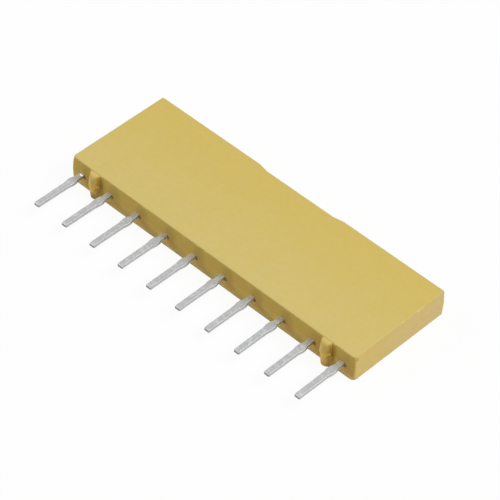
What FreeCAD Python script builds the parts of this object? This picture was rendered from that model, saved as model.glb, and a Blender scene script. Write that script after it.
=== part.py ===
import FreeCAD, Part
import math
import os

# Single in-line resistor network: a flat moulded block with ten flat leads along one edge.
# Millimetres. X runs along the lead row, the leads point towards -Y, and the block lies on
# its large lower face. The origin is the centre of that face.

V = FreeCAD.Vector

# Lead row
LEAD_COUNT = 10
LEAD_PITCH = 2.54

# Moulded block, measured at the parting line halfway up its thickness
END_MARGIN = 0.99            # centre line of an end lead to the end of the block
BODY_DEPTH = 8.30            # lead face to the opposite edge
BODY_THICKNESS = 2.05
DRAFT_ANGLE = 2.0            # degrees, from the parting line to each large face
BACK_CORNER_RADIUS = 0.12    # upright corners
LEAD_CORNER_RADIUS = 0.20    # upright corners of the lead side
LEAD_CORNER_FLARE = 0.14     # by which they are rounder at the large faces
LEAD_CORNER_FLARE_HEIGHT = 0.35
UPPER_RIM_RADIUS = 0.10
LOWER_RIM_RADIUS = 0.06

# Shallow recess of the moulding gate in the edge opposite the leads
GATE_FLOOR = 5.75
GATE_RAMP = 0.8
GATE_DEPTH = 0.16
GATE_OFFSET = 0.2            # its middle, from the middle of the block

# Half-round stand-offs beside the end leads, which seat on the board
STANDOFF_RADIUS = 0.50       # at the parting line
STANDOFF_REACH = 0.42        # out of the lead face
STANDOFF_DRAFT = 5.5         # degrees, from the parting line to each end
STANDOFF_MISMATCH = 0.05     # by which the upper half sits to the left of the lower
STANDOFF_CROWN = 0.55        # height over which the nose slopes back at the upper end
STANDOFF_SOFTENING = 0.12    # rounding between that slope and the flanks
STANDOFF_FOOT = 0.12         # rounding of the nose at the lower end
STANDOFF_DROP = 0.04         # ends stop this far short of the large faces
STANDOFF_ROOT = 0.3          # length that runs on inside the block

# Stamped lead: lengths outside the block run from the lead face
LEAD_THICKNESS = 0.25
LEAD_LENGTH = 4.03
NECK_WIDTH = 0.40
SHOULDER_WIDTH = 0.57
BLADE_WIDTH = 0.44
TIP_WIDTH = 0.41
NECK_END = 0.56
SHOULDER_START = 0.83
SHOULDER_END = 1.10
SHOULDER_FOOT = 1.43
TIP_COIN_LENGTH = 0.14
TIP_COIN_DEPTH = 0.06
TIP_CORNER = 0.03
LEAD_EDGE_RADIUS = 0.025

# Clip that the lead ends in, inside the block: one finger above the ceramic, two below
CLIP_INSET = 0.35            # lead face to the clip's cross piece
CLIP_WIDTH = 1.2
CENTRE_FINGER_WIDTH = 0.42
FINGER_GAP = 0.12
FINGER_RUN = 0.45            # length over which a finger steps up or down
FINGER_GRIP = 1.25           # length along the ceramic
FINGER_FLARE_LENGTH = 0.25
FINGER_FLARE = 0.08
CLIP_CLEARANCE = 0.08        # end of the step to the edge of the ceramic
SOLDER_GAP = 0.03            # under the centre finger

# Ceramic plate in the middle of the thickness
CERAMIC_THICKNESS = 0.635
CERAMIC_FRONT_COVER = 1.35
CERAMIC_BACK_COVER = 0.75

# Printed films on the upper side of the ceramic
CONDUCTOR_FILM = 0.015
RESISTOR_FILM = 0.018
GLAZE_FILM = 0.02
PRINT_MARGIN = 0.12          # bare rim of the ceramic
PAD_WIDTH = 1.0
PAD_LENGTH = 1.95
BUS_WIDTH = 0.8
RESISTOR_WIDTH = 0.9
RESISTOR_LAP = 0.3           # film that lies on a conductor
GLAZE_LAP = 0.06             # glaze beyond the printed films
TRIM_KERF = 0.05
TRIM_PLUNGE = 0.4            # cut across the resistor
TRIM_RUN = 0.8               # cut along the resistor
TRIM_START = 0.7             # from the front conductor to the cut

# Solder on each pad, from the pad up to the top of the centre finger
SOLDER_FOOT = 0.22           # beyond the finger at the pad
SOLDER_LIP = 0.05            # beyond the finger at its top

TINY = 1e-6

ROW_SPAN = (LEAD_COUNT - 1) * LEAD_PITCH
BODY_LENGTH = ROW_SPAN + 2 * END_MARGIN
LEAD_FACE = -BODY_DEPTH / 2
BACK_EDGE = BODY_DEPTH / 2
PARTING_Z = BODY_THICKNESS / 2
DRAFT_SLOPE = math.tan(math.radians(DRAFT_ANGLE))
STANDOFF_SLOPE = math.tan(math.radians(STANDOFF_DRAFT))

CERAMIC_FRONT = LEAD_FACE + CERAMIC_FRONT_COVER
CERAMIC_BACK = BACK_EDGE - CERAMIC_BACK_COVER
CERAMIC_HALF_LENGTH = ROW_SPAN / 2 + PAD_WIDTH / 2 + PRINT_MARGIN
CERAMIC_TOP = PARTING_Z + CERAMIC_THICKNESS / 2
CERAMIC_BOTTOM = PARTING_Z - CERAMIC_THICKNESS / 2

CONDUCTOR_TOP = CERAMIC_TOP + CONDUCTOR_FILM
RESISTOR_TOP = CONDUCTOR_TOP + RESISTOR_FILM
GLAZE_TOP = RESISTOR_TOP + GLAZE_FILM

PAD_FRONT = CERAMIC_FRONT + PRINT_MARGIN
PAD_BACK = PAD_FRONT + PAD_LENGTH
BUS_BACK = CERAMIC_BACK - PRINT_MARGIN
BUS_FRONT = BUS_BACK - BUS_WIDTH
GLAZE_FRONT = PAD_BACK - RESISTOR_LAP - GLAZE_LAP

CLIP_ROOT = CERAMIC_FRONT - CLIP_CLEARANCE - FINGER_RUN
FINGER_END = CERAMIC_FRONT + FINGER_GRIP
UPPER_FINGER_Z = CONDUCTOR_TOP + SOLDER_GAP + LEAD_THICKNESS / 2
LOWER_FINGER_Z = CERAMIC_BOTTOM - LEAD_THICKNESS / 2


def lead_x(number):
    """Centre line of a lead, which are numbered from 1."""
    return (number - 1) * LEAD_PITCH - ROW_SPAN / 2


def one_solid(shape):
    solids = shape.Solids
    if len(solids) != 1 or not solids[0].isValid():
        raise ValueError("expected one valid solid")
    return solids[0]


def box(x_range, y_range, z_range):
    corner = V(x_range[0], y_range[0], z_range[0])
    size = [high - low for low, high in (x_range, y_range, z_range)]
    return Part.makeBox(size[0], size[1], size[2], corner)


def prism(points, direction):
    """Solid swept from a closed polygon along a straight line."""
    return Part.Face(Part.makePolygon(points + points[:1])).extrude(direction)


def centred(x, width):
    return (x - width / 2, x + width / 2)


def straight_edges(points):
    return [Part.LineSegment(a, b).toShape() for a, b in zip(points, points[1:])]


def body_outline(z):
    """Outline of the block at one height: round corners, and the gate recess in its back edge."""
    inset = abs(z - PARTING_Z) * DRAFT_SLOPE
    from_face = min(z, BODY_THICKNESS - z)
    flare = max(0, 1 - from_face / LEAD_CORNER_FLARE_HEIGHT) * LEAD_CORNER_FLARE
    lead_radius = LEAD_CORNER_RADIUS + flare
    quarter = math.pi / 2
    arcs = []
    for turn, (side_x, side_y) in enumerate([(1, 1), (-1, 1), (-1, -1), (1, -1)]):
        radius = BACK_CORNER_RADIUS if side_y > 0 else lead_radius
        reach_x = BODY_LENGTH / 2 - inset - radius
        reach_y = BODY_DEPTH / 2 - inset - radius
        circle = Part.Circle(V(side_x * reach_x, side_y * reach_y, z), V(0, 0, 1), radius)
        arcs.append(Part.Arc(circle, turn * quarter, (turn + 1) * quarter).toShape())
    back = BACK_EDGE - inset
    floor = GATE_FLOOR / 2
    mouth = floor + GATE_RAMP
    recess = [
        V(GATE_OFFSET + mouth, back, z),
        V(GATE_OFFSET + floor, back - GATE_DEPTH, z),
        V(GATE_OFFSET - floor, back - GATE_DEPTH, z),
        V(GATE_OFFSET - mouth, back, z),
    ]
    edges = []
    for index, arc in enumerate(arcs):
        end = arc.Vertexes[-1].Point
        start = arcs[(index + 1) % len(arcs)].Vertexes[0].Point
        path = [end] + (recess if index == 0 else []) + [start]
        edges += [arc] + straight_edges(path)
    return Part.Wire(edges)


def moulded_block():
    flare_ends = (LEAD_CORNER_FLARE_HEIGHT, BODY_THICKNESS - LEAD_CORNER_FLARE_HEIGHT)
    heights = sorted((0, PARTING_Z, BODY_THICKNESS) + flare_ends)
    block = Part.makeLoft([body_outline(z) for z in heights], True, True)
    for z, radius in ((BODY_THICKNESS, UPPER_RIM_RADIUS), (0, LOWER_RIM_RADIUS)):
        rim = [edge for edge in block.Edges
               if abs(edge.BoundBox.ZMin - z) < TINY and abs(edge.BoundBox.ZMax - z) < TINY]
        block = block.makeFillet(radius, rim)
    return block


def standoff(x):
    """Half-round rib on the lead face, drafted both ways from the parting line, where its halves meet."""
    axis_y = LEAD_FACE + STANDOFF_RADIUS - STANDOFF_REACH
    end_radius = STANDOFF_RADIUS - PARTING_Z * STANDOFF_SLOPE
    lower = Part.makeCone(end_radius, STANDOFF_RADIUS, PARTING_Z)
    upper = Part.makeCone(STANDOFF_RADIUS, end_radius, BODY_THICKNESS - PARTING_Z)
    lower.rotate(V(), V(0, 0, 1), 90)
    upper.rotate(V(), V(0, 0, 1), 90)
    lower = lower.translated(V(x, axis_y, 0))
    upper = upper.translated(V(x - STANDOFF_MISMATCH, axis_y, PARTING_Z))
    rib = lower.fuse(upper).common(standoff_side(x))
    creases = [edge for edge in rib.Edges
               if edge.BoundBox.ZMin > PARTING_Z + TINY
               and edge.BoundBox.YMax < LEAD_FACE + TINY
               and edge.BoundBox.ZLength > TINY]
    return rib.makeFillet(STANDOFF_SOFTENING, creases)


def standoff_side(x):
    """Space with the stand-off's outline as seen from the end of the block."""
    nose = LEAD_FACE - STANDOFF_REACH
    back = LEAD_FACE + STANDOFF_ROOT
    low = STANDOFF_DROP
    top = BODY_THICKNESS - STANDOFF_DROP
    left = x - 2 * STANDOFF_RADIUS
    middle = V(left, LEAD_FACE, top - STANDOFF_CROWN)
    drafted = (middle.z - PARTING_Z) * STANDOFF_SLOPE
    shoulder = V(left, nose + drafted, middle.z)
    crown = Part.Ellipse(V(left, LEAD_FACE, top), shoulder, middle)
    crown = Part.Arc(crown, 0, math.pi / 2).toShape()
    foot_middle = V(left, nose + STANDOFF_FOOT, low + STANDOFF_FOOT)
    foot_bulge = foot_middle - V(0, 1, 1).normalize() * STANDOFF_FOOT
    foot_end = V(left, foot_middle.y, low)
    foot = Part.Arc(V(left, nose, foot_middle.z), foot_bulge, foot_end).toShape()
    front = straight_edges([shoulder, V(left, nose, middle.z), V(left, nose, foot_middle.z)])
    behind = straight_edges([foot_end, V(left, back, low), V(left, back, top), V(left, LEAD_FACE, top)])
    outline = Part.Wire([crown] + front + [foot] + behind)
    return Part.Face(outline).extrude(V(4 * STANDOFF_RADIUS, 0, 0))


def strip(path, x_range):
    """Bent strip of the lead's thickness that follows (y, z) points across a range of x."""
    points = [V(0, y, z) for y, z in path]
    normals = []
    for a, b in zip(points, points[1:]):
        along = (b - a).normalize()
        normals.append(V(0, -along.z, along.y))
    before = normals[:1] + normals
    after = normals + normals[-1:]
    upper = []
    lower = []
    for point, first, second in zip(points, before, after):
        offset = (first + second) * (LEAD_THICKNESS / 2 / (1 + first.dot(second)))
        upper.append(point + offset)
        lower.append(point - offset)
    profile = upper + lower[::-1]
    for point in profile:
        point.x = x_range[0]
    return prism(profile, V(x_range[1] - x_range[0], 0, 0))


def lead_blade():
    """The flat part of a lead outside the block, on the centre line x = 0."""
    tip = LEAD_FACE - LEAD_LENGTH
    coined = tip + TIP_COIN_LENGTH
    half_outline = [
        (tip, TIP_WIDTH / 2 - TIP_CORNER),
        (tip + TIP_CORNER, TIP_WIDTH / 2),
        (LEAD_FACE - SHOULDER_FOOT, BLADE_WIDTH / 2),
        (LEAD_FACE - SHOULDER_END, SHOULDER_WIDTH / 2),
        (LEAD_FACE - SHOULDER_START, SHOULDER_WIDTH / 2),
        (LEAD_FACE - NECK_END, NECK_WIDTH / 2),
        (LEAD_FACE, NECK_WIDTH / 2),
    ]
    right = [V(half_width, y, PARTING_Z - LEAD_THICKNESS / 2) for y, half_width in half_outline]
    left = [V(-point.x, point.y, point.z) for point in right[::-1]]
    flat = prism(right + left, V(0, 0, LEAD_THICKNESS))
    half = LEAD_THICKNESS / 2
    side = [(LEAD_FACE, -half), (LEAD_FACE, half), (coined, half), (tip, half - TIP_COIN_DEPTH),
            (tip, TIP_COIN_DEPTH - half), (coined, -half)]
    across = SHOULDER_WIDTH / 2
    coin = prism([V(-across, y, PARTING_Z + z) for y, z in side], V(2 * across, 0, 0))
    blade = flat.common(coin)
    long_edges = [edge for edge in blade.Edges
                  if edge.BoundBox.ZLength < TINY and edge.BoundBox.YLength > TINY
                  and edge.BoundBox.YMin > coined - TINY]
    return blade.makeFillet(LEAD_EDGE_RADIUS, long_edges)


def lead_clip():
    """The part of a lead inside the block: neck, cross piece and three fingers, at x = 0."""
    flat = (PARTING_Z - LEAD_THICKNESS / 2, PARTING_Z + LEAD_THICKNESS / 2)
    clip_front = LEAD_FACE + CLIP_INSET
    neck = box(centred(0, NECK_WIDTH), (LEAD_FACE, clip_front), flat)
    cross_piece = box(centred(0, CLIP_WIDTH), (clip_front, CLIP_ROOT), flat)
    finger_half = CENTRE_FINGER_WIDTH / 2
    outer_start = finger_half + FINGER_GAP
    outer_end = CLIP_WIDTH / 2
    fingers = []
    for x_range, level, side in (
            ((-finger_half, finger_half), UPPER_FINGER_Z, 1),
            ((outer_start, outer_end), LOWER_FINGER_Z, -1),
            ((-outer_end, -outer_start), LOWER_FINGER_Z, -1)):
        path = [
            (clip_front, PARTING_Z),
            (CLIP_ROOT, PARTING_Z),
            (CLIP_ROOT + FINGER_RUN, level),
            (FINGER_END - FINGER_FLARE_LENGTH, level),
            (FINGER_END, level + side * FINGER_FLARE),
        ]
        fingers.append(strip(path, x_range))
    return neck.fuse([cross_piece] + fingers)


def solder_joint(lead):
    """Solder between a pad and the centre finger, drawn up along the finger's sides; at x = 0."""
    top = UPPER_FINGER_Z + LEAD_THICKNESS / 2
    finger_half = CENTRE_FINGER_WIDTH / 2
    back = FINGER_END - FINGER_FLARE_LENGTH
    sections = []
    for z, spread in ((CONDUCTOR_TOP, SOLDER_FOOT), (top, SOLDER_LIP)):
        half = finger_half + spread
        corners = [V(-half, PAD_FRONT, z), V(half, PAD_FRONT, z),
                   V(half, back + spread, z), V(-half, back + spread, z)]
        sections.append(Part.makePolygon(corners + corners[:1]))
    return one_solid(Part.makeLoft(sections, True, True).cut(lead))


def pad(x):
    return box(centred(x, PAD_WIDTH), (PAD_FRONT, PAD_BACK), (CERAMIC_TOP, CONDUCTOR_TOP))


def common_conductor():
    """First lead's pad, its track to the back of the ceramic, and the bus that joins them all."""
    layer = (CERAMIC_TOP, CONDUCTOR_TOP)
    first = lead_x(1)
    last = lead_x(LEAD_COUNT)
    track = box(centred(first, PAD_WIDTH), (PAD_FRONT, BUS_BACK), layer)
    bus = box((first - PAD_WIDTH / 2, last + PAD_WIDTH / 2), (BUS_FRONT, BUS_BACK), layer)
    return one_solid(track.fuse(bus).removeSplitter())


def resistor(x):
    """Printed film from a pad to the bus, which steps up on to the conductors at both ends."""
    low_top = CERAMIC_TOP + RESISTOR_FILM
    profile = [
        (PAD_BACK - RESISTOR_LAP, CONDUCTOR_TOP),
        (PAD_BACK - RESISTOR_LAP, RESISTOR_TOP),
        (PAD_BACK, RESISTOR_TOP),
        (PAD_BACK + RESISTOR_FILM, low_top),
        (BUS_FRONT - RESISTOR_FILM, low_top),
        (BUS_FRONT, RESISTOR_TOP),
        (BUS_FRONT + RESISTOR_LAP, RESISTOR_TOP),
        (BUS_FRONT + RESISTOR_LAP, CONDUCTOR_TOP),
        (BUS_FRONT, CONDUCTOR_TOP),
        (BUS_FRONT, CERAMIC_TOP),
        (PAD_BACK, CERAMIC_TOP),
        (PAD_BACK, CONDUCTOR_TOP),
    ]
    low_x, high_x = centred(x, RESISTOR_WIDTH)
    return prism([V(low_x, y, z) for y, z in profile], V(high_x - low_x, 0, 0))


def trim_cut(x):
    """L-shaped kerf that sets a resistor's value, through the glaze and the film."""
    layer = (CERAMIC_TOP, GLAZE_TOP)
    edge = x + RESISTOR_WIDTH / 2
    corner_x = edge - TRIM_PLUNGE
    start = PAD_BACK + TRIM_START
    plunge = box((corner_x, edge), (start, start + TRIM_KERF), layer)
    run = box((corner_x, corner_x + TRIM_KERF), (start, start + TRIM_RUN), layer)
    return plunge.fuse(run)


def glaze_block():
    """Space of the glass layer over the resistors and the bus, with everything below it."""
    half_row = ROW_SPAN / 2 + PAD_WIDTH / 2 + GLAZE_LAP
    return box((-half_row, half_row), (GLAZE_FRONT, BUS_BACK + GLAZE_LAP), (CERAMIC_TOP, GLAZE_TOP))


def build():
    """Every piece of the network by its name."""
    pieces = {}
    lead = one_solid(lead_blade().fuse(lead_clip()).removeSplitter())
    solder = solder_joint(lead)
    numbers = range(1, LEAD_COUNT + 1)
    for number in numbers:
        place = V(lead_x(number), 0, 0)
        pieces["lead_%02d" % number] = lead.translated(place)
        pieces["solder_%02d" % number] = solder.translated(place)

    conductors = [common_conductor()]
    pieces["common_conductor"] = conductors[0]
    films = []
    kerfs = []
    for number in numbers[1:]:
        x = lead_x(number)
        conductors.append(pad(x))
        films.append(resistor(x))
        kerfs.append(trim_cut(x))
        pieces["pad_%02d" % number] = conductors[-1]
        pieces["resistor_%02d" % number] = one_solid(films[-1].cut(kerfs[-1]))

    glaze_space = glaze_block()
    pieces["overglaze"] = one_solid(glaze_space.cut(conductors + films + kerfs))
    ceramic = box((-CERAMIC_HALF_LENGTH, CERAMIC_HALF_LENGTH), (CERAMIC_FRONT, CERAMIC_BACK),
                  (CERAMIC_BOTTOM, CERAMIC_TOP))
    pieces["ceramic_substrate"] = ceramic

    standoffs = [standoff((lead_x(number) + lead_x(number + 1)) / 2)
                 for number in (1, LEAD_COUNT - 1)]
    embedded = [glaze_space, ceramic] + conductors
    embedded += [shape for name, shape in pieces.items() if name.startswith(("lead", "solder"))]
    body = moulded_block().fuse(standoffs).removeSplitter().cut(embedded)
    pieces["moulded_body"] = one_solid(body)
    return pieces


os.makedirs("parts", exist_ok=True)
for name, shape in build().items():
    shape.exportStep("parts/" + name + ".step")
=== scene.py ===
import math

import bmesh
import bpy
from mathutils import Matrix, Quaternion, Vector


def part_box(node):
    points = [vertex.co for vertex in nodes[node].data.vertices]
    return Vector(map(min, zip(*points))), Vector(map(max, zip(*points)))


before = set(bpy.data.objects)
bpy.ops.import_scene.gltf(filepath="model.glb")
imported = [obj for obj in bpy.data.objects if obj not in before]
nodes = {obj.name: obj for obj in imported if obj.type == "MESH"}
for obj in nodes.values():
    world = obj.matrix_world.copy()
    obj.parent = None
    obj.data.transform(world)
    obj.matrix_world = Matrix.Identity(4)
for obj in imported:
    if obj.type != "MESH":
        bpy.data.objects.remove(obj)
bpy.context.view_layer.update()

# The looks of a ten-lead resistor network: a satin, mustard-yellow moulded block with flat tinned leads.
# Lengths are in metres. X runs along the lead row, from the first lead, Z is up, and the leads point to -Y.
MM = 0.001

# The lead row and the block's own levels
LEAD_PITCH = 2.54 * MM
STANDOFF_SPACING = 8 * LEAD_PITCH
LEAD_FACE = -4.15 * MM
LEAD_TIP = LEAD_FACE - 4.03 * MM
PARTING_LEVEL = 1.025 * MM
STANDOFF_LEDGE = 1.16 * MM

# The photograph's camera
CAMERA_AIM = Vector((0.835, -1.257, 1.025)) * MM
CAMERA_DISTANCE = 177.53 * MM
CAMERA_AZIMUTH = 42.07
CAMERA_ELEVATION = 45.05
CAMERA_ROLL = 2.83
CAMERA_LENS = 203.0
CAMERA_SENSOR = 36.0
CAMERA_NEAR = 0.01
CAMERA_FAR = 10.0

# The table, and the room's own light
FLOOR_SIZE = 3.0
FLOOR_GAP = 0.002 * MM
FLOOR_COLOUR = (0.84, 0.84, 0.83, 1)
ROOM_COLOUR = (1, 1, 1, 1)
BACKGROUND_SHARE = 0.94
SKY_STRENGTH = 0.10

# Soft boxes: the key stands behind the block on its right, the fill in front on its left
LAMP_DISTANCE = 0.60
KEY_DIRECTION = Vector((0.66, 0.42, 1.0)).normalized()
KEY_SIZE = 0.45
KEY_POWER = 3.82
FILL_DIRECTION = Vector((-0.90, -0.42, 0.50)).normalized()
FILL_SIZE = 0.30
FILL_POWER = 1.45

# The block's colours, and those of its stand-offs and of the marks round the lead roots. Many are painted
# light and shade: the top's sheen, the shaded walls, the lit and shaded sides of the stand-offs, and the
# shadows round the lead roots.
MOULDING_FACE = (0.610, 0.462, 0.112, 1)
MOULDING_SHEEN = (0.622, 0.492, 0.165, 1)
MOULDING_DEEP = (0.560, 0.402, 0.078, 1)
MOULDING_END = (0.617, 0.456, 0.170, 1)
MOULDING_END_FRONT_SHADE = (0.622, 0.457, 0.125, 1)
MOULDING_RIM_SHADE = (0.530, 0.385, 0.085, 1)
# The lead wall's browner tone is painted shade.
MOULDING_SHADED_WALL = (0.645, 0.430, 0.050, 1)
# Lighter near the bottom of the lead wall: painted bounce light from the floor.
MOULDING_WALL_BOUNCE_LIGHT = (0.690, 0.505, 0.130, 1)
STANDOFF_CROWN = (0.755, 0.525, 0.128, 1)
STANDOFF_LIT = (0.870, 0.560, 0.090, 1)
STANDOFF_SHADED = (0.490, 0.265, 0.022, 1)
FIRST_STANDOFF_FOOT = (0.515, 0.280, 0.058, 1)
ROOT_LOWER_SHADOW = (0.590, 0.325, 0.050, 1)
ROOT_UPPER_SHADOW = (0.530, 0.350, 0.040, 1)
ROOT_SHADE = (0.048, 0.026, 0.005, 1)
DARK_FLECK = (0.330, 0.230, 0.060, 1)
PALE_EDGE_SPECK = (0.800, 0.700, 0.330, 1)

# The leads' colours, among them painted light near the block, painted shade on the rounded edges and a
# painted glint on the first lead's root
TIN_BRIGHT = (0.475, 0.484, 0.482, 1)
TIN_SPECK = (0.600, 0.608, 0.604, 1)
TIN_DULL = (0.385, 0.393, 0.396, 1)
TIN_ROOT_LIGHT = (0.640, 0.650, 0.690, 1)
TIN_EDGE_SHADE = (0.350, 0.356, 0.354, 1)
TIN_BEAD_GLINT = (0.850, 0.745, 0.765, 1)
SHEARED_SIDE = (0.440, 0.446, 0.442, 1)
SHEAR_BREAK = (0.660, 0.665, 0.660, 1)
COINED_TIP = (0.425, 0.424, 0.416, 1)
CUT_END = (0.200, 0.196, 0.188, 1)

# The colours of the pieces inside the block, from their darker patches to their lighter ones
ALUMINA_SHADES = ((0.78, 0.77, 0.73, 1), (0.86, 0.86, 0.83, 1))
SILVER_SHADES = ((0.60, 0.59, 0.56, 1), (0.74, 0.73, 0.70, 1))
RESISTOR_SHADES = ((0.018, 0.018, 0.020, 1), (0.045, 0.044, 0.046, 1))
OVERGLAZE_SHADES = ((0.010, 0.070, 0.045, 1), (0.022, 0.115, 0.075, 1))
SOLDER_SHADES = ((0.52, 0.53, 0.54, 1), (0.72, 0.73, 0.73, 1))

# Soft steps from one colour to the next: where each starts, and where it is complete
LEAD_SIDE_STEP = (LEAD_FACE + 0.14 * MM, LEAD_FACE + 0.04 * MM)
BOUNCE_LIGHT_STEP = (0.75 * MM, 0.15 * MM)
STANDOFF_STEP = (LEAD_FACE - 0.02 * MM, LEAD_FACE - 0.12 * MM)
SHADED_FLANK_STEP = (0.14 * MM, 0.38 * MM)
CROWN_STEP = (PARTING_LEVEL + 0.02 * MM, PARTING_LEVEL + 0.45 * MM)
CROWN_FLANK_STEP = (0.30 * MM, 0.10 * MM)
LEDGE_HIGHLIGHT_STEP = (0.17 * MM, 0.05 * MM)
FOOT_STEP = (0.70 * MM, 0.30 * MM)
FIRST_STANDOFF_STEP = (0.0, -1.0 * MM)
LEAD_ROOT_STEP = (LEAD_FACE - 0.52 * MM, LEAD_FACE - 0.02 * MM)
SHEAR_BREAK_STEP = (PARTING_LEVEL + 0.02 * MM, PARTING_LEVEL - 0.06 * MM)
COINED_STEP = (LEAD_TIP + 0.16 * MM, LEAD_TIP + 0.13 * MM)
CUT_END_STEP = (LEAD_TIP + 0.02 * MM, LEAD_TIP)

# Soft round marks on the lead side, all painted shadow and shade: centre, then reach. Each is given across
# the row, to the right of the nearest lead or stand-off, and up from the block's lower face.
ROOT_UPPER_SHADOW_SPOT = ((0.42 * MM, 1.30 * MM), (0.70 * MM, 1.00 * MM))
ROOT_LOWER_SHADOW_SPOT = ((0.48 * MM, 0.66 * MM), (0.80 * MM, 0.55 * MM))
ROOT_SHADE_SPOT = ((0.18 * MM, 0.92 * MM), (0.22 * MM, 0.19 * MM))
STANDOFF_SHADOW_SPOT = ((0.52 * MM, 1.20 * MM), (0.26 * MM, 1.00 * MM))

# Single marks: the place, then the reach. The first lead's root carries a small bump, painted with a bright
# glint.
CORNER_FLECK = (Vector((12.40, -3.86, 1.80)) * MM, 0.14 * MM)
ROOT_GLINT_BEAD = (Vector((-11.36, -4.18, 1.15)) * MM, 0.20 * MM)
ROOT_BEAD_HEIGHT = 0.05 * MM

# How strongly a shade covers what it lies on, and how far the edge of the top's painted sheen and the end
# wall's painted shade wanders
DEEP_SHARE = 0.16
RIM_SHADE_SHARE = 0.75
LEDGE_HIGHLIGHT_SHARE = 0.75
ROOT_SHADE_SHARE = 0.95
STANDOFF_SHADOW_SHARE = 0.7
EDGE_SPECK_SHARE = 0.4
FLECK_SHARE = 0.7
TIN_SPECK_SHARE = 0.5
GRADIENT_WANDER = 1.2 * MM

# Steps in how far a surface is turned up or down, from 0 where it is upright to 1 where it is level
LEVEL_STEP = (0.30, 0.90)
EDGE_RISE = (0.10, 0.40)
EDGE_FALL = (0.98, 0.80)

# The shared patterns: the cloud's size in patch sizes, the pits to one grain size, and the levels
# between which each mask rises
CLOUD_SIZE = 0.22
PATCH_CONTRAST = (0.36, 0.64)
CLOUD_CONTRAST = (0.30, 0.70)
PIT_SCALE = 0.35
PIT_EDGE = (0.28, 0.10)
SHADOW_PATCH_CONTRAST = (0.1, 0.8)
SPECK_CONTRAST = (0.45, 1.0)
STREAK_CONTRAST = (0.1, 0.6)

# The share of a round mark's reach within which it is full, and the least cover of the patchy marks
SPOT_CORE = 0.35
SHADOW_PATCH_LEAST = 0.35
STREAK_LEAST = 0.3


def place_camera():
    """The photograph's own view: a long lens, looking down on the block from its lead side."""
    azimuth, elevation = math.radians(CAMERA_AZIMUTH), math.radians(CAMERA_ELEVATION)
    back = Vector((
        math.sin(azimuth) * math.cos(elevation),
        -math.cos(azimuth) * math.cos(elevation),
        math.sin(elevation),
    ))
    lens = bpy.data.cameras.new("camera")
    lens.sensor_width = CAMERA_SENSOR
    lens.lens = CAMERA_LENS
    lens.clip_start = CAMERA_NEAR
    lens.clip_end = CAMERA_FAR
    camera = bpy.data.objects.new("camera", lens)
    bpy.context.scene.collection.objects.link(camera)
    camera.location = CAMERA_AIM + back * CAMERA_DISTANCE
    camera.rotation_mode = "QUATERNION"
    roll = Quaternion((0, 0, 1), math.radians(CAMERA_ROLL))
    camera.rotation_quaternion = (-back).to_track_quat("-Z", "Y") @ roll
    bpy.context.scene.camera = camera


def hang_lamp(name, direction, size, power):
    """A square soft box that shines on the middle of the object."""
    data = bpy.data.lights.new(name, "AREA")
    data.shape = "SQUARE"
    data.size = size
    data.energy = power
    lamp = bpy.data.objects.new(name, data)
    bpy.context.scene.collection.objects.link(lamp)
    lamp.location = direction * LAMP_DISTANCE
    lamp.rotation_mode = "QUATERNION"
    lamp.rotation_quaternion = (-direction).to_track_quat("-Z", "Y")
    lamp.visible_camera = False


def add(tree, kind, **settings):
    """A new node with its own settings, such as operation or feature."""
    made = tree.nodes.new(kind)
    for name, value in settings.items():
        setattr(made, name, value)
    return made


def plug(tree, value, socket):
    """A link from another socket, or a plain number or colour."""
    if isinstance(value, bpy.types.NodeSocket):
        tree.links.new(value, socket)
    else:
        socket.default_value = value


def arithmetic(tree, operation, first, second=0.0):
    """One Math node. Its inputs are sockets or plain numbers, and its result is a socket."""
    made = add(tree, "ShaderNodeMath", operation=operation)
    for socket, value in zip(made.inputs, (first, second)):
        plug(tree, value, socket)
    return made.outputs[0]


def ramp(tree, value, start, end, low=0.0, high=1.0):
    """A smooth step of a value, from low at start to high at end."""
    made = add(tree, "ShaderNodeMapRange", interpolation_type="SMOOTHSTEP")
    plug(tree, value, made.inputs["Value"])
    made.inputs["From Min"].default_value = start
    made.inputs["From Max"].default_value = end
    made.inputs["To Min"].default_value = low
    made.inputs["To Max"].default_value = high
    return made.outputs["Result"]


def blend(tree, share, first, second):
    """A colour between two colours."""
    made = add(tree, "ShaderNodeMix", data_type="RGBA")
    plug(tree, share, made.inputs["Factor"])
    plug(tree, first, made.inputs["A"])
    plug(tree, second, made.inputs["B"])
    return made.outputs["Result"]


def tint(tree, colour, shade, *masks):
    """A colour with a shade laid over it where all of these masks and plain shares are high."""
    cover = masks[0]
    for mask in masks[1:]:
        cover = arithmetic(tree, "MULTIPLY", cover, mask)
    return blend(tree, cover, colour, shade)


def noise(tree, place, size, detail, roughness=0.5):
    """Plain noise whose features are about this size, from 0 to 1."""
    made = add(tree, "ShaderNodeTexNoise", noise_dimensions="3D")
    plug(tree, place, made.inputs["Vector"])
    made.inputs["Scale"].default_value = 1.0 / size
    made.inputs["Detail"].default_value = detail
    made.inputs["Roughness"].default_value = roughness
    return made.outputs["Fac"]


def relief(tree, height, distance, strength=1.0, under=None):
    """A normal that is raised by a height from 0 to 1, over this distance."""
    made = add(tree, "ShaderNodeBump")
    made.inputs["Strength"].default_value = strength
    made.inputs["Distance"].default_value = distance
    plug(tree, height, made.inputs["Height"])
    if under is not None:
        plug(tree, under, made.inputs["Normal"])
    return made.outputs["Normal"]


def roughen(tree, shader, mask, smooth, extra):
    """Roughness that is smooth where the mask is 0, and rougher by extra where it is 1."""
    rougher = arithmetic(tree, "MULTIPLY", mask, extra)
    tree.links.new(arithmetic(tree, "ADD", rougher, smooth), shader.inputs["Roughness"])


def use_group(tree, group, **values):
    """A shared effect, placed with this material's own values."""
    made = add(tree, "ShaderNodeGroup", node_tree=group)
    for name, value in values.items():
        plug(tree, value, made.inputs[name.replace("_", " ").capitalize()])
    return made.outputs


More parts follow.
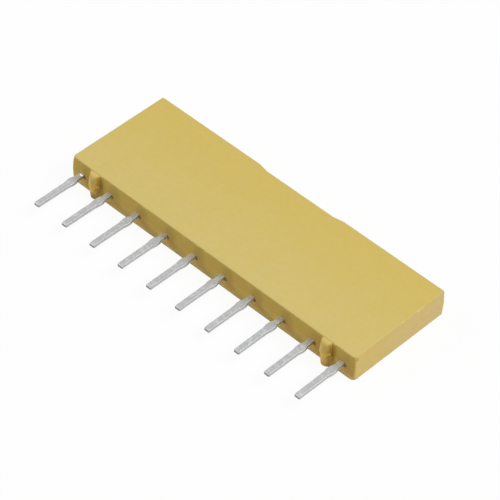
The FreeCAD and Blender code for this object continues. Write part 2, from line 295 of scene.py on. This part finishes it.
def new_material(name):
    """An empty material with a Principled shader, and that shader."""
    material = bpy.data.materials.new(name)
    material.use_nodes = True
    tree = material.node_tree
    tree.nodes.clear()
    shader = add(tree, "ShaderNodeBsdfPrincipled")
    output = add(tree, "ShaderNodeOutputMaterial")
    tree.links.new(shader.outputs["BSDF"], output.inputs["Surface"])
    return material, tree, shader


def new_pattern(name, size_name, size, masks):
    """A shared effect on places measured in its own size, which puts out these masks."""
    group = bpy.data.node_groups.new(name, "ShaderNodeTree")
    knob = group.interface.new_socket(size_name, in_out="INPUT", socket_type="NodeSocketFloat")
    knob.default_value = size
    for mask in masks:
        group.interface.new_socket(mask, in_out="OUTPUT", socket_type="NodeSocketFloat")
    entry = add(group, "NodeGroupInput")
    result = add(group, "NodeGroupOutput")
    place = add(group, "ShaderNodeTexCoord").outputs["Object"]
    scaled = add(group, "ShaderNodeVectorMath", operation="SCALE")
    group.links.new(place, scaled.inputs[0])
    group.links.new(arithmetic(group, "DIVIDE", 1.0, entry.outputs[size_name]), scaled.inputs["Scale"])
    return group, scaled.outputs[0], result


def make_mottling():
    """Broad, soft patches with a finer cloud in them, as in a filled compound or a dull metal."""
    group, place, result = new_pattern("mottling", "Patch size", MM, ("Patches", "Cloud"))
    patches = noise(group, place, 1.0, detail=1.5)
    cloud = noise(group, place, CLOUD_SIZE, detail=3.0, roughness=0.6)
    group.links.new(ramp(group, patches, *PATCH_CONTRAST), result.inputs["Patches"])
    group.links.new(ramp(group, cloud, *CLOUD_CONTRAST), result.inputs["Cloud"])
    return group


def make_grain():
    """The fine, even pitting that a spark-finished mould, a fired film or a cast joint leaves."""
    group, place, result = new_pattern("fine_grain", "Grain size", 0.05 * MM, ("Height", "Pits"))
    grain = noise(group, place, 1.0, detail=2.0, roughness=0.55)
    pits = add(group, "ShaderNodeTexVoronoi", feature="F1")
    pits.inputs["Scale"].default_value = PIT_SCALE
    group.links.new(place, pits.inputs["Vector"])
    group.links.new(grain, result.inputs["Height"])
    group.links.new(ramp(group, pits.outputs["Distance"], *PIT_EDGE), result.inputs["Pits"])
    return group


def make_facing():
    """Masks of how a surface lies: flat up or down, or a rounded edge between that and upright."""
    group = bpy.data.node_groups.new("facing", "ShaderNodeTree")
    for name in ("Flat", "Edge"):
        group.interface.new_socket(name, in_out="OUTPUT", socket_type="NodeSocketFloat")
    result = add(group, "NodeGroupOutput")
    normal = add(group, "ShaderNodeTexCoord").outputs["Normal"]
    parts = add(group, "ShaderNodeSeparateXYZ")
    group.links.new(normal, parts.inputs[0])
    lift = arithmetic(group, "ABSOLUTE", parts.outputs["Z"])
    rising = ramp(group, lift, *EDGE_RISE)
    falling = ramp(group, lift, *EDGE_FALL)
    group.links.new(ramp(group, lift, *LEVEL_STEP), result.inputs["Flat"])
    group.links.new(arithmetic(group, "MULTIPLY", rising, falling), result.inputs["Edge"])
    return group


MOTTLING = make_mottling()
GRAIN = make_grain()
FACING = make_facing()


def place_of(tree):
    """The place on the surface, whole and split into its three directions."""
    place = add(tree, "ShaderNodeTexCoord").outputs["Object"]
    parts = add(tree, "ShaderNodeSeparateXYZ")
    tree.links.new(place, parts.inputs[0])
    return place, parts.outputs


def beside_nearest(tree, at, spacing):
    """How far a place lies to the right of the nearest of the features with this spacing."""
    wrapped = arithmetic(tree, "FLOORED_MODULO", at["X"], spacing)
    return arithmetic(tree, "SUBTRACT", wrapped, spacing / 2)


def spot(tree, across, up, centre, reach):
    """A soft round mask in the plane of the lead face, 1 at its centre and 0 from its reach on."""
    side = arithmetic(tree, "DIVIDE", arithmetic(tree, "SUBTRACT", across, centre[0]), reach[0])
    rise = arithmetic(tree, "DIVIDE", arithmetic(tree, "SUBTRACT", up, centre[1]), reach[1])
    squares = [arithmetic(tree, "MULTIPLY", value, value) for value in (side, rise)]
    distance = arithmetic(tree, "SQRT", arithmetic(tree, "ADD", squares[0], squares[1]))
    return ramp(tree, distance, 1.0, SPOT_CORE)


def dab(tree, place, centre, reach):
    """A soft round mask about a point, 1 at the point and 0 from its reach on."""
    apart = add(tree, "ShaderNodeVectorMath", operation="DISTANCE")
    tree.links.new(place, apart.inputs[0])
    apart.inputs[1].default_value = centre
    return ramp(tree, apart.outputs["Value"], reach, SPOT_CORE * reach)


def block_colour(tree, at, facing, patches, lead_side):
    """The large faces and the walls. The top turns paler towards the leads, a painted sheen, and the end
    wall a little deeper there, painted shade; the lead wall's browner tone is painted shade, lightened near
    the bottom with painted bounce light from the floor.
    """
    back_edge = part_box("moulded_body")[1].y
    wander = arithmetic(tree, "MULTIPLY", patches["Patches"], GRADIENT_WANDER)
    towards_leads = ramp(tree, arithmetic(tree, "ADD", at["Y"], wander), back_edge, LEAD_FACE)
    # Paler top towards the leads: painted sheen. Deeper end wall towards the leads: painted shade.
    face = blend(tree, towards_leads, MOULDING_FACE, MOULDING_SHEEN)
    end_wall = blend(tree, towards_leads, MOULDING_END, MOULDING_END_FRONT_SHADE)
    # Lighter near the bottom: painted bounce light from the floor.
    lower = ramp(tree, at["Z"], *BOUNCE_LIGHT_STEP)
    lead_wall = blend(tree, lower, MOULDING_SHADED_WALL, MOULDING_WALL_BOUNCE_LIGHT)
    wall = blend(tree, lead_side, end_wall, lead_wall)
    colour = blend(tree, facing["Flat"], wall, face)
    return tint(tree, colour, MOULDING_DEEP, patches["Cloud"], DEEP_SHARE)


def shade_lead_wall(tree, colour, at, lead_wall, from_standoff):
    """Painted shadows on the lead wall: a soft one above and right of each lead, a patchy brown one below
    and right of it, a dark painted shade at its root, and a brown one to the right of each stand-off.
    """
    across = beside_nearest(tree, at, LEAD_PITCH)
    # A soft painted shadow above and right of each lead's root.
    upper_shadow = spot(tree, across, at["Z"], *ROOT_UPPER_SHADOW_SPOT)
    colour = tint(tree, colour, ROOT_UPPER_SHADOW, upper_shadow, lead_wall)
    # A patchy brown painted shadow of each lead, below and right of its root.
    lower_shadow = spot(tree, across, at["Z"], *ROOT_LOWER_SHADOW_SPOT)
    blots = use_group(tree, MOTTLING, patch_size=0.5 * MM)
    patchy = ramp(tree, blots["Cloud"], *SHADOW_PATCH_CONTRAST, low=SHADOW_PATCH_LEAST)
    colour = tint(tree, colour, ROOT_LOWER_SHADOW, lower_shadow, lead_wall, patchy)
    # A dark painted shade in the corner under each lead's root.
    shade = spot(tree, across, at["Z"], *ROOT_SHADE_SPOT)
    colour = tint(tree, colour, ROOT_SHADE, shade, lead_wall, ROOT_SHADE_SHARE)
    # A brown painted shadow on the wall to the right of each stand-off.
    beside = spot(tree, from_standoff, at["Z"], *STANDOFF_SHADOW_SPOT)
    return tint(tree, colour, STANDOFF_SHADED, beside, lead_wall, STANDOFF_SHADOW_SHARE)


def standoff_colour(tree, at, from_standoff):
    """A stand-off: pale on its left, painted light, and brown on its right flank, painted shade; a yellower
    crown; a pale line along its ledge, a painted highlight; darker at the first one's foot.
    """
    # Pale on the left, painted light; brown on the right flank, painted shade.
    shaded_flank = ramp(tree, from_standoff, *SHADED_FLANK_STEP)
    colour = blend(tree, shaded_flank, STANDOFF_LIT, STANDOFF_SHADED)
    crown = ramp(tree, at["Z"], *CROWN_STEP)
    left_of_flank = ramp(tree, from_standoff, *CROWN_FLANK_STEP)
    colour = tint(tree, colour, STANDOFF_CROWN, crown, left_of_flank)
    # A pale line along the ledge: a painted highlight.
    from_ledge = arithmetic(tree, "ABSOLUTE", arithmetic(tree, "SUBTRACT", at["Z"], STANDOFF_LEDGE))
    colour = tint(tree, colour, STANDOFF_LIT, ramp(tree, from_ledge, *LEDGE_HIGHLIGHT_STEP, high=LEDGE_HIGHLIGHT_SHARE))
    foot = ramp(tree, at["Z"], *FOOT_STEP)
    on_first = ramp(tree, at["X"], *FIRST_STANDOFF_STEP)
    return tint(tree, colour, FIRST_STANDOFF_FOOT, foot, on_first)


def moulding_compound():
    """Mustard epoxy compound from a spark-finished mould. Its browner lead side is painted shade, with
    painted shadows round the leads, painted light and shade on the stand-offs, and rounded edges darkened
    with painted shade that damps their highlight.
    """
    material, tree, shader = new_material("mustard_moulding_compound")
    place, at = place_of(tree)
    facing = use_group(tree, FACING)
    patches = use_group(tree, MOTTLING, patch_size=1.6 * MM)
    grain = use_group(tree, GRAIN, grain_size=0.035 * MM)
    flecks = use_group(tree, GRAIN, grain_size=0.22 * MM)

    lead_side = ramp(tree, at["Y"], *LEAD_SIDE_STEP)
    upright = arithmetic(tree, "SUBTRACT", 1.0, facing["Flat"])
    lead_wall = arithmetic(tree, "MULTIPLY", lead_side, upright)
    from_standoff = beside_nearest(tree, at, STANDOFF_SPACING)
    on_standoff = ramp(tree, at["Y"], *STANDOFF_STEP)

    colour = block_colour(tree, at, facing, patches, lead_side)
    colour = shade_lead_wall(tree, colour, at, lead_wall, from_standoff)
    # Rounded edges darkened: painted shade that damps their highlight.
    colour = tint(tree, colour, MOULDING_RIM_SHADE, facing["Edge"], RIM_SHADE_SHARE)
    colour = blend(tree, on_standoff, colour, standoff_colour(tree, at, from_standoff))
    # Pale specks along the rounded edges.
    colour = tint(tree, colour, PALE_EDGE_SPECK, flecks["Pits"], facing["Edge"], EDGE_SPECK_SHARE)
    colour = tint(tree, colour, DARK_FLECK, dab(tree, place, *CORNER_FLECK), FLECK_SHARE)
    tree.links.new(colour, shader.inputs["Base Color"])

    roughen(tree, shader, patches["Cloud"], smooth=0.54, extra=0.08)
    grained = relief(tree, grain["Height"], distance=0.004 * MM, strength=0.6)
    tree.links.new(grained, shader.inputs["Normal"])
    shader.inputs["IOR"].default_value = 1.5
    return material


def tinned_lead():
    """Matte tin on a stamped strip, with duller sheared sides, a burnished tip and a bare cut end. Near the
    block the tin is paler, painted light; its rounded edges are darker, painted shade that damps their
    highlight; and the first lead's root has a small bump painted with a glint.
    """
    material, tree, shader = new_material("matte_tin_plating")
    place, at = place_of(tree)
    facing = use_group(tree, FACING)
    patches = use_group(tree, MOTTLING, patch_size=0.35 * MM)
    speckle = use_group(tree, MOTTLING, patch_size=0.8 * MM)
    grain = use_group(tree, GRAIN, grain_size=0.02 * MM)

    tin = blend(tree, patches["Cloud"], TIN_DULL, TIN_BRIGHT)
    tin = tint(tree, tin, TIN_SPECK, ramp(tree, speckle["Cloud"], *SPECK_CONTRAST, high=TIN_SPECK_SHARE))
    # Paler tin near the block: painted light.
    tin = tint(tree, tin, TIN_ROOT_LIGHT, ramp(tree, at["Y"], *LEAD_ROOT_STEP))
    # A small bump on the first lead's root, painted with a bright glint.
    glint_bead = dab(tree, place, *ROOT_GLINT_BEAD)
    tin = tint(tree, tin, TIN_BEAD_GLINT, glint_bead)
    broken = ramp(tree, at["Z"], *SHEAR_BREAK_STEP)
    streaks = ramp(tree, patches["Cloud"], *STREAK_CONTRAST, low=STREAK_LEAST)
    sheared = tint(tree, SHEARED_SIDE, SHEAR_BREAK, broken, streaks)
    colour = blend(tree, facing["Flat"], sheared, tin)
    # Darker rounded edges: painted shade that damps their highlight.
    colour = tint(tree, colour, TIN_EDGE_SHADE, facing["Edge"])
    colour = tint(tree, colour, COINED_TIP, ramp(tree, at["Y"], *COINED_STEP))
    colour = tint(tree, colour, CUT_END, ramp(tree, at["Y"], *CUT_END_STEP))
    tree.links.new(colour, shader.inputs["Base Color"])

    shader.inputs["Metallic"].default_value = 1.0
    roughen(tree, shader, patches["Patches"], smooth=0.42, extra=0.10)
    grained = relief(tree, grain["Height"], distance=0.003 * MM, strength=0.5)
    tree.links.new(relief(tree, glint_bead, ROOT_BEAD_HEIGHT, under=grained), shader.inputs["Normal"])
    return material


def alumina():
    """White ceramic plate, pressed and fired."""
    material, tree, shader = new_material("white_alumina")
    patches = use_group(tree, MOTTLING, patch_size=0.8 * MM)
    grain = use_group(tree, GRAIN, grain_size=0.03 * MM)
    tree.links.new(blend(tree, patches["Cloud"], *ALUMINA_SHADES), shader.inputs["Base Color"])
    roughen(tree, shader, patches["Patches"], smooth=0.50, extra=0.10)
    grained = relief(tree, grain["Height"], distance=0.003 * MM, strength=0.5)
    tree.links.new(grained, shader.inputs["Normal"])
    return material


def silver_print():
    """Printed and fired silver conductor, matte with a faint screen mark."""
    material, tree, shader = new_material("fired_silver_print")
    patches = use_group(tree, MOTTLING, patch_size=0.3 * MM)
    grain = use_group(tree, GRAIN, grain_size=0.04 * MM)
    tree.links.new(blend(tree, patches["Cloud"], *SILVER_SHADES), shader.inputs["Base Color"])
    shader.inputs["Metallic"].default_value = 1.0
    roughen(tree, shader, grain["Pits"], smooth=0.42, extra=0.20)
    grained = relief(tree, grain["Height"], distance=0.004 * MM, strength=0.7)
    tree.links.new(grained, shader.inputs["Normal"])
    return material


def resistor_print():
    """Printed resistor film: a black glassy film with a fine pepper of grains."""
    material, tree, shader = new_material("black_resistor_print")
    patches = use_group(tree, MOTTLING, patch_size=0.4 * MM)
    grain = use_group(tree, GRAIN, grain_size=0.03 * MM)
    tree.links.new(blend(tree, patches["Cloud"], *RESISTOR_SHADES), shader.inputs["Base Color"])
    roughen(tree, shader, grain["Pits"], smooth=0.30, extra=0.18)
    grained = relief(tree, grain["Height"], distance=0.003 * MM, strength=0.6)
    tree.links.new(grained, shader.inputs["Normal"])
    return material


def green_overglaze():
    """Dark green glass, fired over the resistors."""
    material, tree, shader = new_material("green_overglaze")
    patches = use_group(tree, MOTTLING, patch_size=0.9 * MM)
    grain = use_group(tree, GRAIN, grain_size=0.06 * MM)
    tree.links.new(blend(tree, patches["Cloud"], *OVERGLAZE_SHADES), shader.inputs["Base Color"])
    roughen(tree, shader, patches["Patches"], smooth=0.16, extra=0.10)
    grained = relief(tree, grain["Height"], distance=0.003 * MM, strength=0.4)
    tree.links.new(grained, shader.inputs["Normal"])
    return material


def reflowed_solder():
    """Solder joint: bright where it wetted, grey and frosted where it froze last."""
    material, tree, shader = new_material("reflowed_solder")
    patches = use_group(tree, MOTTLING, patch_size=0.25 * MM)
    grain = use_group(tree, GRAIN, grain_size=0.025 * MM)
    tree.links.new(blend(tree, patches["Patches"], *SOLDER_SHADES), shader.inputs["Base Color"])
    shader.inputs["Metallic"].default_value = 1.0
    roughen(tree, shader, patches["Cloud"], smooth=0.18, extra=0.22)
    grained = relief(tree, grain["Height"], distance=0.003 * MM, strength=0.6)
    tree.links.new(grained, shader.inputs["Normal"])
    return material


def seen_as_background(tree):
    """A mask of the rays that see the background as white: from the camera, or off metal and glass."""
    rays = add(tree, "ShaderNodeLightPath").outputs
    shiny = arithmetic(tree, "MAXIMUM", rays["Is Glossy Ray"], rays["Is Transmission Ray"])
    return arithmetic(tree, "MAXIMUM", rays["Is Camera Ray"], shiny)


def floor_paint():
    """Pale paint that takes the object's shadow, and that is close to white as a background."""
    material = bpy.data.materials.new("pale_floor")
    material.use_nodes = True
    tree = material.node_tree
    tree.nodes.clear()
    paint = add(tree, "ShaderNodeBsdfDiffuse")
    paint.inputs["Color"].default_value = FLOOR_COLOUR
    white = add(tree, "ShaderNodeEmission")
    white.inputs["Strength"].default_value = 1.0
    mixed = add(tree, "ShaderNodeMixShader")
    share = arithmetic(tree, "MULTIPLY", seen_as_background(tree), BACKGROUND_SHARE)
    tree.links.new(share, mixed.inputs["Fac"])
    tree.links.new(paint.outputs["BSDF"], mixed.inputs[1])
    tree.links.new(white.outputs["Emission"], mixed.inputs[2])
    output = add(tree, "ShaderNodeOutputMaterial")
    tree.links.new(mixed.outputs["Shader"], output.inputs["Surface"])
    return material


def lay_floor():
    """A pale, plain floor. It lies a hair below the block, so that their faces don't share a plane."""
    sheet = bmesh.new()
    bmesh.ops.create_grid(sheet, x_segments=1, y_segments=1, size=FLOOR_SIZE / 2)
    mesh = bpy.data.meshes.new("studio_floor")
    sheet.to_mesh(mesh)
    sheet.free()
    mesh.materials.append(floor_paint())
    floor = bpy.data.objects.new("studio_floor", mesh)
    bpy.context.scene.collection.objects.link(floor)
    floor.location.z = -FLOOR_GAP


def light_the_room():
    """A dim, even room that is white as a background."""
    world = bpy.data.worlds.new("studio")
    bpy.context.scene.world = world
    world.use_nodes = True
    tree = world.node_tree
    tree.nodes.clear()
    room = add(tree, "ShaderNodeBackground")
    span = arithmetic(tree, "MULTIPLY", seen_as_background(tree), 1.0 - SKY_STRENGTH)
    tree.links.new(arithmetic(tree, "ADD", span, SKY_STRENGTH), room.inputs["Strength"])
    room.inputs["Color"].default_value = ROOM_COLOUR
    output = add(tree, "ShaderNodeOutputWorld")
    tree.links.new(room.outputs["Background"], output.inputs["Surface"])


def finish_nodes():
    """Every piece takes its finish by the name of its material slot."""
    finishes = {
        "moulding": moulding_compound(),
        "lead_tin": tinned_lead(),
        "ceramic": alumina(),
        "conductor_film": silver_print(),
        "resistor_film": resistor_print(),
        "glaze": green_overglaze(),
        "solder": reflowed_solder(),
    }
    for node in nodes.values():
        for holder in node.material_slots:
            holder.material = finishes[holder.material.name.split(".")[0]]


bpy.context.scene.view_settings.view_transform = "Standard"
place_camera()
lay_floor()
light_the_room()
hang_lamp("key", KEY_DIRECTION, KEY_SIZE, KEY_POWER)
hang_lamp("fill", FILL_DIRECTION, FILL_SIZE, FILL_POWER)
finish_nodes()
